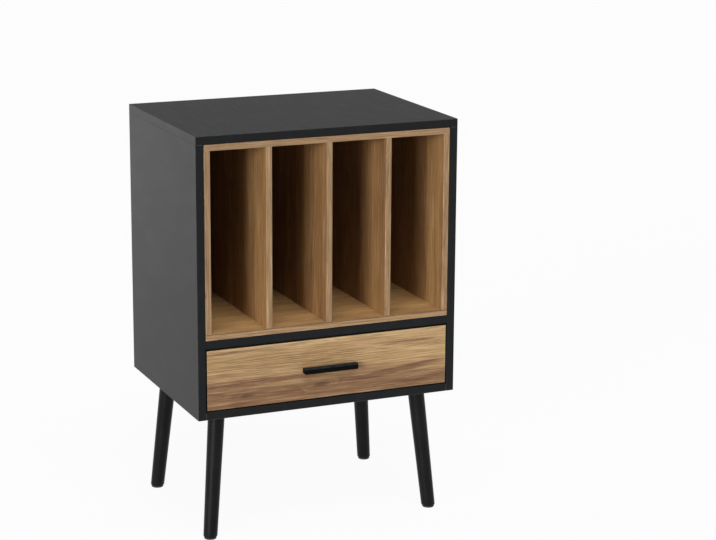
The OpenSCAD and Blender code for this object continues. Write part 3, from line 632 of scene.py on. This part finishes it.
def skin(name, rings, material, copies=None):
    """A closed skin over rings of points: an array of rings by points by X, Y, Z, from one end
    to the other, whose ends are closed by fans about the means of their rings. Rings that turn
    anticlockwise about the way from the first to the last make faces that look outwards.
    Copies is an array of 4 x 4 matrices, each of which places the skin once more."""
    count, around, _ = rings.shape
    points = np.concatenate([rings.reshape(-1, 3), rings[[0, -1]].mean(axis=1)])
    index = np.arange(count * around).reshape(count, around)
    after = np.roll(index, -1, axis=1)
    quads = np.stack([index[:-1], after[:-1], after[1:], index[1:]], axis=-1).reshape(-1, 4)
    start, end = np.full(around, count * around), np.full(around, count * around + 1)
    fans = np.concatenate([np.stack([start, after[0], index[0]], axis=-1),
                           np.stack([end, index[-1], after[-1]], axis=-1)])
    copies = np.eye(4)[None] if copies is None else copies
    placed = points @ copies[:, :3, :3].transpose(0, 2, 1) + copies[:, None, :3, 3]
    shifts = (np.arange(len(copies)) * len(points))[:, None, None]
    mesh = bpy.data.meshes.new(name)
    mesh.from_pydata(placed.reshape(-1, 3).tolist(), [],
                     (quads + shifts).reshape(-1, 4).tolist()
                     + (fans + shifts).reshape(-1, 3).tolist())
    mesh.shade_smooth()
    mesh.set_sharp_from_angle(angle=CREASE)
    mesh.materials.append(material)
    return new_object(name, mesh)


def show(obj, node, replacing=True):
    """obj rides on the body of that CAD node, and in its place where
    it is the first of the pieces that are drawn for it."""
    if replacing:
        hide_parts(node)
    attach(obj, BODY_OF[node])


def around_a_ring(count):
    """Angles of count points round a ring, shaped to spread over rings by points by X, Y, Z."""
    return np.linspace(0, 2 * np.pi, count, endpoint=False)[None, :, None]


def quarter(count, radius=1.0):
    """A rounding of that radius from an end's flat to a side, in count rings: how far each
    ring lies behind the flat, r * (1 - cos), and how far inside the side, r * (1 - sin)."""
    turned = np.linspace(0, np.pi / 2, count)
    return radius * (1 - np.stack([np.cos(turned), np.sin(turned)]))


# ---- Boards ----


class STAND_OT_black_boards(bpy.types.Operator):
    """Finish the cabinet's boards in satin black laminate"""

    bl_idname = "stand.black_boards"
    bl_label = "Black boards"

    def execute(self, context):
        finish = settings_of(context)[0]
        boards = ("top_panel", "left_side_panel", "right_side_panel", "middle_shelf",
                  "bottom_panel")
        for seed, node in enumerate(boards):
            dress(node, black_laminate("laminate_" + node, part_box(node), 11.3 * seed + 2,
                                       finish))
        dress("cabinet_back_panel", painted_hardboard("painted_hardboard", 67))
        return {"FINISHED"}


# What the print of the record box's boards is multiplied by, before their front band: a
# darker tone than the drawer front's print, deepened into a painted shade for the dim compartments
BOX_SHADE = (0.66, 0.54, 0.41)

# Each knot: its place along the grain and across it, and its size
DRAWER_KNOTS = ((-0.0147, 0.2765, 0.0055), (-0.157, 0.2712, 0.005))

# Each streak: its place along the grain and across it, its slope, half its width and length,
# and its depth
DRAWER_STREAKS = (
    (-0.190, 0.2945, 0.03, 0.0105, 0.10, 0.8), (-0.09, 0.2970, 0.02, 0.0070, 0.10, 0.75),
    (0.130, 0.2875, 0.106, 0.0075, 0.13, 0.9), (-0.157, 0.2715, 0.0, 0.009, 0.05, 0.7),
    (-0.088, 0.2710, 0.06, 0.0050, 0.045, 0.7), (0.163, 0.2656, 0.03, 0.006, 0.09, 0.6),
    (-0.165, 0.3550, 0.0, 0.0045, 0.09, 0.6), (-0.047, 0.3577, 0.0, 0.003, 0.05, 0.5),
    (0.155, 0.3405, -0.03, 0.0022, 0.09, 0.6), (0.187, 0.334, -0.02, 0.002, 0.06, 0.6),
    (-0.200, 0.2570, 0.02, 0.0060, 0.08, 0.6), (0.02, 0.2575, 0.0, 0.003, 0.12, 0.5))

# The print of each board, as printed_wood takes it
WOOD_BOARDS = {
    "box_top": dict(grain="X", tilt=0.1, shade=BOX_SHADE),
    # The bottom is lighter and warmer than the box's other boards: painted light on the
    # compartments' floors
    "box_bottom": dict(grain="X", dim=-0.24, shade=(1, 0.84, 0.67), lipped=True),
    "box_left_side": dict(grain="Z", shade=BOX_SHADE),
    "box_right_side": dict(grain="Z", dim=-0.05, shade=BOX_SHADE),
    "box_divider_left": dict(grain="Z", shade=BOX_SHADE),
    "box_divider_centre": dict(grain="Z", shade=BOX_SHADE),
    "box_divider_right": dict(grain="Z", shade=BOX_SHADE),
    "box_back_panel": dict(grain="Z", dim=0.1, shade=BOX_SHADE),
    "drawer_front": dict(
        grain="X", tilt=0.16, rise=0.16, middle=0.18, banded=False, gap_shaded_edges=True,
        falls=((0.303, 0.11), (0.331, 0.09)), knots=DRAWER_KNOTS, streaks=DRAWER_STREAKS),
    "drawer_left_side": dict(grain="Y", dim=0.1),
    "drawer_right_side": dict(grain="Y", dim=0.1),
    "drawer_back": dict(grain="X", dim=0.1),
    "drawer_bottom": dict(grain="X", dim=0.1),
}


class STAND_OT_wood_boards(bpy.types.Operator):
    """Finish the record box and the drawer in laminate printed as rustic oak"""

    bl_idname = "stand.wood_boards"
    bl_label = "Wood-look boards"

    def execute(self, context):
        finish = settings_of(context)[0]
        for place, (node, look) in enumerate(WOOD_BOARDS.items()):
            dress(node, printed_wood("oak_" + node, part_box(node), seed=7.7 * place + 1,
                                     settings=finish, **look))
        return {"FINISHED"}


# ---- Fittings ----


def solids(node):
    """The points of each solid in a CAD node's mesh. Points at one place are one, and each
    takes the least number of those it shares an edge with until none changes."""
    mesh = NODES[node].data
    points = np.empty(3 * len(mesh.vertices))
    mesh.vertices.foreach_get("co", points)
    points = points.reshape(-1, 3)
    _, same = np.unique(points.round(6), axis=0, return_inverse=True)
    same = same.reshape(-1)
    edges = np.empty(2 * len(mesh.edges), dtype=np.int32)
    mesh.edges.foreach_get("vertices", edges)
    edges = same[edges.reshape(-1, 2)]
    label = np.arange(same.max() + 1)
    settled = False
    while not settled:
        before = label.copy()
        np.minimum.at(label, edges[:, 0], before[edges[:, 1]])
        np.minimum.at(label, edges[:, 1], before[edges[:, 0]])
        settled = (label == before).all()
    return [points[label[same] == part] for part in np.unique(label)]


def screw_place(points, turn):
    """Where one CAD screw is and how large: a matrix that puts the underside of its head at
    0 and its tip along +Z, and its length, its shank's and head's radii and its head's height.
    It lies along its longest side, and its widest points are its head's."""
    low, high = points.min(axis=0), points.max(axis=0)
    along = int(np.argmax(high - low))
    middle = (low + high) / 2
    off = np.linalg.norm(np.delete(points - middle, along, axis=1), axis=1)
    head = off > 0.95 * off.max()
    way = 1.0 if points[head, along].mean() < middle[along] else -1.0
    depth = way * points[:, along]
    under = depth[head].max()
    length = depth.max() - under
    shank = off[depth - under > length / 2].max()
    ahead, side = np.zeros(3), np.zeros(3)
    ahead[along], side[(along + 1) % 3] = way, 1.0
    up = np.cross(ahead, side)
    place = np.eye(4)
    place[:3, 0] = math.cos(turn) * side + math.sin(turn) * up
    place[:3, 1] = math.cos(turn) * up - math.sin(turn) * side
    place[:3, 2] = ahead
    place[:3, 3] = middle
    place[along, 3] = way * under
    return place, (length, shank, off.max(), np.ptp(depth[head]))


def screws_by_size(node):
    """The sizes of the screws in a CAD node, each with the places of the screws of that length."""
    sizes, places = {}, {}
    for count, points in enumerate(solids(node)):
        place, size = screw_place(points, 1.1 * count)
        length = round(1000 * size[0])
        sizes.setdefault(length, size)
        places.setdefault(length, []).append(place)
    return [(sizes[length], np.array(found)) for length, found in places.items()]


def screw_rings(length, shank, head, head_h):
    """Rings of one pan-head screw, from the middle of its head to its tip.

    The head's height over the radius r is a low dome, 1 - (r / R)^4 / 3, less a cross recess
    where the nearer of |x| and |y| is within the arm's half width. At the rim the dome turns
    down to the brim. On the shank the radius rises and falls once a pitch with
    z / pitch - angle / turn, and it runs to a point at the tip."""
    angle = around_a_ring(32)
    rim, brim = 0.86, 0.25
    r = head * np.array([0.06, 0.14, 0.22, 0.3, 0.38, 0.46, 0.54, 0.62, 0.74, rim])[:, None, None]
    x, y = np.abs(r * np.cos(angle)), np.abs(r * np.sin(angle))
    arm, reach = 0.11 * head, 0.55 * head
    cross = (np.clip(2 - np.minimum(x, y) / arm, 0, 1)
             * np.clip((reach - np.maximum(x, y)) / arm, 0, 1))
    height = head_h * (1 - (r / head) ** 4 / 3 - 0.6 * cross)
    dome = 1 - rim ** 4 / 3
    along, inset = quarter(6)[..., None, None]
    edge_r = head * (1 - (1 - rim) * inset)
    edge_h = head_h * (dome - (dome - brim) * along)
    pitch = 0.45 * shank
    z = np.arange(0.0002, length, pitch / 6)[:, None, None]
    phase = np.mod(z / pitch - angle / (2 * np.pi), 1)
    crest = 1 - np.clip(np.abs(2 * phase - 1) * 2.4 - 0.4, 0, 1)
    core = 0.76 * shank
    taper = np.clip((length - z) / (2.2 * shank), 0.08, 1)
    thread_r = (core + (shank - core) * crest) * taper
    flat = 0 * angle
    radius = np.concatenate([r + flat, edge_r + flat, head + flat, core + flat, thread_r])
    level = np.concatenate([-height, -edge_h + flat, flat, flat, z + flat])
    return np.concatenate([radius * np.cos(angle), radius * np.sin(angle), level], axis=2)


class STAND_OT_fittings(bpy.types.Operator):
    """Finish the fittings: dowels, cams, plates, runners, rollers and pads"""

    bl_idname = "stand.fittings"
    bl_label = "Fittings"

    def execute(self, context):
        beech = plain_wood("beech", srgb(214, 176, 124), 3)
        zinc = plated_steel("cast_zinc", srgb(186, 188, 192), 0.34, 5)
        steel = plated_steel("plated_steel", srgb(200, 200, 204), 0.24, 8)
        white = moulded_plastic("white_powder_coat", srgb(222, 221, 216), 0.34, 12)
        nylon = moulded_plastic("nylon", srgb(228, 224, 210), 0.3, 15)
        rubber = moulded_plastic("foot_plastic", srgb(40, 40, 41), 0.55, 18)
        plate = powder_coat("plate_powder_coat", srgb(24, 24, 25), 21)
        looks = {"dowels": beech, "cam_bolts": zinc, "cam_locks": zinc, "rivets": steel,
                 "leg_bolts": steel, "cabinet_rail": white, "drawer_runner": white,
                 "roller": nylon, "foot_pads": rubber, "leg_plate": plate}
        for node in NODES:
            if node.endswith("screws"):
                for kind, (size, places) in enumerate(screws_by_size(node)):
                    screws = skin(f"{node}_threaded_{kind + 1}", screw_rings(*size), steel, places)
                    show(screws, node, replacing=kind == 0)
            else:
                for part, look in looks.items():
                    if part in node:
                        dress(node, look)
        return {"FINISHED"}


# ---- Legs ----


def leg_rings(corner, shape):
    """A tapered round leg, from the bottom of the bolt's bore in its top to the bottom of the
    pad's bore in its foot.

    A point of its side is top + s * axis + (r0 + k * s) * ray(angle). The side ends where its
    height is the pad's, at s = (h - pad + r0 * ray_z) / (cos(lean) - k * ray_z). The edges
    round the top and the foot are quarter turns between the side and the two flats."""
    lean = shape.leg_lean
    turn = math.atan2(corner[1] * math.sin(shape.leg_turn), corner[0] * math.cos(shape.leg_turn))
    out = np.array([math.cos(turn), math.sin(turn), 0])
    side = np.array([-math.sin(turn), math.cos(turn), 0])
    down = np.array([0, 0, -1])
    axis = math.sin(lean) * out + math.cos(lean) * down
    top = np.array([corner[0] * shape.leg_spread_x, MID_Y + corner[1] * shape.leg_spread_y,
                    shape.leg_h])
    angle = around_a_ring(64)
    level = np.cos(angle) * side + np.sin(angle) * out
    ray = np.cos(angle) * side + np.sin(angle) * (math.cos(lean) * out - math.sin(lean) * down)
    r0 = shape.leg_top_d / 2
    k = (shape.leg_foot_d / 2 - r0) / (shape.leg_h / math.cos(lean))
    end = ((shape.leg_h - shape.pad_h + r0 * ray[..., 2:])
           / (math.cos(lean) - k * ray[..., 2:]))
    edge, rounding, seat = 0.001, shape.foot_rounding, shape.leg_seat
    bolt_r, bolt_l, stem_r, stem_l = 0.0041, 0.0281, 0.0026, 0.0101

    bore = top + np.array([bolt_l + seat, seat])[:, None, None] * axis + bolt_r * ray
    along, inset = quarter(6, edge)[..., None, None]
    s = seat + along
    brow = top + s * axis + (r0 + k * s - inset) * ray
    share = np.linspace(0, 1, 30)[1:-1, None, None]
    s = seat + edge + share * (end - rounding - seat - edge)
    wall = top + s * axis + (r0 + k * s) * ray
    along, inset = quarter(9, rounding)[..., None, None]
    s = end - inset
    foot = top + s * axis + (r0 + k * s) * ray - along * level
    centre = top + (shape.leg_h - shape.pad_h) / math.cos(lean) * axis
    stem = centre - np.array([0, stem_l])[:, None, None] * down + stem_r * level
    return np.concatenate([bore, brow, wall, foot, stem])


class STAND_OT_legs(bpy.types.Operator):
    """Build the four tapered legs, in satin black paint"""

    bl_idname = "stand.legs"
    bl_label = "Legs"

    def execute(self, context):
        finish, shape, _ = settings_of(context)
        paint = satin_paint("leg_paint", finish.leg_paint, 31)
        for row, y in (("front", -1), ("back", 1)):
            for hand, x in (("left", -1), ("right", 1)):
                node = f"leg_{row}_{hand}"
                leg = skin(node + "_turned", leg_rings((x, y), shape), paint)
                show(leg, node)
        return {"FINISHED"}


# ---- Handle ----

HANDLE_RISE = 0.0008  # how far the middle of the bar lies above those of its posts


def rounded_section(half_y, half_z, r):
    """Points round a rectangle with rounded corners, of half sizes 1 by 1, whose corners have
    the radius r at the sizes given. They turn from +Z to -Y, which is anticlockwise about +X."""
    turned = np.linspace(0, np.pi / 2, 7)
    signs = np.array([[-1, 1], [-1, -1], [1, -1], [1, 1]])
    swing = np.stack([turned + np.pi / 2 * corner for corner in (1, 2, 3, 4)])
    y = signs[:, :1] * (half_y - r) + r * np.cos(swing)
    z = signs[:, 1:] * (half_z - r) + r * np.sin(swing)
    return (y / half_y).reshape(-1), (z / half_z).reshape(-1)


def bar_rings(shape, height):
    """The handle's bar: a rounded section led along X, drawn in by a quarter turn at each end."""
    half_x, half_y, half_z = shape.handle_l / 2, shape.handle_bar_t / 2, shape.handle_bar_h / 2
    rounding, end_rounding, end_length = 0.0019, 0.001, 0.0065
    y, z = rounded_section(half_y, half_z, rounding)
    along, inset = quarter(6, end_rounding)
    straight = np.linspace(-1, 1, 19) * (half_x - end_length)
    x = np.concatenate([along - half_x, straight, (half_x - along)[::-1]])[:, None]
    inset = np.concatenate([inset, 0 * straight, inset[::-1]])[:, None]
    middle_y = FRONT_Y - shape.handle_reach + half_y
    return np.stack([x + 0 * y, middle_y + (half_y - inset) * y, height + (half_z - inset) * z],
                    axis=2)


def post_rings(shape):
    """One of the handle's posts, from the drawer's front to the bar's middle: a rounded section
    led along -Y, drawn in by a quarter turn at the drawer. Its sides lie a little inside the
    bar's end and its underside."""
    inside, rounding, ease = 0.00015, 0.0012, 0.0004
    half_x = shape.handle_post_w / 2 - inside
    half_z = shape.handle_bar_h / 2 - HANDLE_RISE - inside
    x, z = rounded_section(half_x, half_z, rounding)
    along, inset = quarter(5, ease)
    along = np.append(along, shape.handle_reach - shape.handle_bar_t / 2)[:, None]
    inset = np.append(inset, 0)[:, None]
    return np.stack([(half_x - inset) * x, 0 * x - along, (half_z - inset) * z], axis=2)


class STAND_OT_handle(bpy.types.Operator):
    """Build the drawer's handle, in matt black powder coat"""

    bl_idname = "stand.handle"
    bl_label = "Handle"

    def execute(self, context):
        _, shape, _ = settings_of(context)
        low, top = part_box("drawer_handle")
        height = (low.z + top.z) / 2
        # The bar's top carries the coat's painted highlight
        coat = powder_coat("handle_powder_coat", srgb(5, 5, 6), 41, top=top.z + HANDLE_RISE)
        bar = skin("drawer_handle_bar", bar_rings(shape, height + HANDLE_RISE), coat)
        show(bar, "drawer_handle")
        places = np.tile(np.eye(4), (2, 1, 1))
        places[:, 0, 3] = shape.handle_spacing / 2 * np.array([-1, 1])
        places[:, 1:3, 3] = FRONT_Y, height
        posts = skin("drawer_handle_posts", post_rings(shape), coat, places)
        show(posts, "drawer_handle", replacing=False)
        return {"FINISHED"}


# ---- Studio ----


def facing(azimuth, elevation):
    """Turns +Z, the side from which a lamp shines or a camera looks, to the direction that
    lies at those angles to the left of the front and above the floor."""
    return (Matrix.Rotation(-azimuth, 4, "Z")
            @ Matrix.Rotation(math.pi / 2 - elevation, 4, "X"))


def seen_share(shader):
    """1 for the rays that show a backdrop: camera, glossy and transmission rays."""
    rays = shader.add("LightPath").outputs
    gloss = shader.math("MAXIMUM", rays["Is Glossy Ray"], rays["Is Transmission Ray"])
    return shader.math("MAXIMUM", rays["Is Camera Ray"], gloss)


class STAND_OT_studio(bpy.types.Operator):
    """Build the floor, the even surround, the lamps and the camera"""

    bl_idname = "stand.studio"
    bl_label = "Studio"

    def execute(self, context):
        studio = settings_of(context)[2]
        self.build_floor(studio)
        self.build_surround(context.scene, studio)
        self.build_lamp("side_lamp", studio.side_lamp_side, studio.side_lamp_height,
                        studio.side_lamp, studio.side_lamp_softness)
        self.build_lamp("high_lamp", studio.high_lamp_side, studio.high_lamp_height,
                        studio.high_lamp, studio.high_lamp_softness)
        self.build_strip(studio)
        self.build_camera(context.scene, studio)
        context.scene.view_settings.view_transform = "Standard"
        return {"FINISHED"}

    def build_floor(self, studio):
        """A wide matt floor, of which a share glows white for the rays that show it."""
        half, glow = 60.0, 0.94
        mesh = bpy.data.meshes.new("floor")
        mesh.from_pydata([(-half, -half, 0), (half, -half, 0), (half, half, 0),
                          (-half, half, 0)], [], [(0, 1, 2, 3)])
        floor = new_object("floor", mesh)
        s = Shader("floor")
        lit = s.add("BsdfDiffuse", {"Color": studio.floor})
        shown = s.add("Emission", {"Color": WHITE, "Strength": 1.0})
        share = s.product(seen_share(s), glow)
        mixed = s.add("MixShader", {0: share, 1: lit.outputs[0], 2: shown.outputs[0]})
        s.add("OutputMaterial", {0: mixed.outputs[0]})
        mesh.materials.append(s.owner)

    def build_surround(self, scene, studio):
        """The even light, and what is seen in its place: white for the camera, and for gloss
        white at the horizon and darker with the height above it."""
        s = Shader("surround", "worlds")
        ray = s.add("TexCoord").outputs["Generated"]
        height = s.add("SeparateXYZ", {0: ray}).outputs[2]
        fade = s.step(height, 0.02, 0.5, 1.0, studio.overhead)
        camera = s.add("LightPath").outputs["Is Camera Ray"]
        shown = s.math("MAXIMUM", fade, camera)
        light = s.add("Background", {0: WHITE, 1: studio.surround})
        backdrop = s.add("Background", {0: WHITE, 1: shown})
        mixed = s.add("MixShader", {0: seen_share(s), 1: light.outputs[0],
                                    2: backdrop.outputs[0]})
        s.add("OutputWorld", {0: mixed.outputs[0]})
        scene.world = s.owner

    def build_lamp(self, name, azimuth, elevation, strength, softness):
        """A lamp whose light comes evenly from one direction."""
        light = bpy.data.lights.new(name, "SUN")
        light.energy = strength
        light.angle = softness
        new_object(name, light).matrix_world = facing(azimuth, elevation)

    def build_strip(self, studio):
        """A tall soft lamp behind the stand and to its left, by which its side fades softly
        towards the front. No camera sees it."""
        light = bpy.data.lights.new("strip_lamp", "AREA")
        light.shape = "RECTANGLE"
        light.size, light.size_y = 0.5, 0.9
        light.energy = studio.strip_lamp
        place = Vector(studio.strip_place)
        azimuth = math.atan2(CAD_BOX[0][0] - place.x, -place.y)
        lamp = new_object("strip_lamp", light)
        lamp.matrix_world = Matrix.Translation(place) @ facing(azimuth, 0)
        lamp.visible_camera = False

    def build_camera(self, scene, studio):
        data = bpy.data.cameras.new("camera")
        data.sensor_fit = "HORIZONTAL"
        data.sensor_width = 36.0
        data.lens = studio.camera_lens
        data.clip_start, data.clip_end = 0.05, 200.0
        scene.camera = new_object("camera", data)
        scene.camera.matrix_world = (Matrix.Translation(Vector(studio.camera_place))
                                     @ facing(studio.camera_yaw, studio.camera_pitch)
                                     @ Matrix.Rotation(studio.camera_roll, 4, "Z"))


# ---- Panel and registration ----

OPERATORS = (
    STAND_OT_studio,
    STAND_OT_black_boards,
    STAND_OT_wood_boards,
    STAND_OT_fittings,
    STAND_OT_legs,
    STAND_OT_handle,
)


class STAND_PT_panel(bpy.types.Panel):
    """Lists the stand's settings and the steps that build its looks"""

    bl_idname = "STAND_PT_panel"
    bl_label = "Record storage stand"
    bl_space_type = "VIEW_3D"
    bl_region_type = "UI"
    bl_category = "Stand"

    def draw(self, context):
        for operator in OPERATORS:
            self.layout.operator(operator.bl_idname)
        for group in settings_of(context):
            box = self.layout.box()
            for name in group.__annotations__:
                box.prop(group, name)


CLASSES = (StandFinishSettings, StandShapeSettings, StandStudioSettings, *OPERATORS,
           STAND_PT_panel)


def register():
    for cls in CLASSES:
        bpy.utils.register_class(cls)
    bpy.types.Scene.stand_finish = PointerProperty(type=StandFinishSettings)
    bpy.types.Scene.stand_shape = PointerProperty(type=StandShapeSettings)
    bpy.types.Scene.stand_studio = PointerProperty(type=StandStudioSettings)


def unregister():
    del bpy.types.Scene.stand_studio
    del bpy.types.Scene.stand_shape
    del bpy.types.Scene.stand_finish
    for cls in reversed(CLASSES):
        bpy.utils.unregister_class(cls)


def main():
    register()
    for operator in OPERATORS:
        group, name = operator.bl_idname.split(".")
        getattr(getattr(bpy.ops, group), name)()


if __name__ == "__main__":
    main()
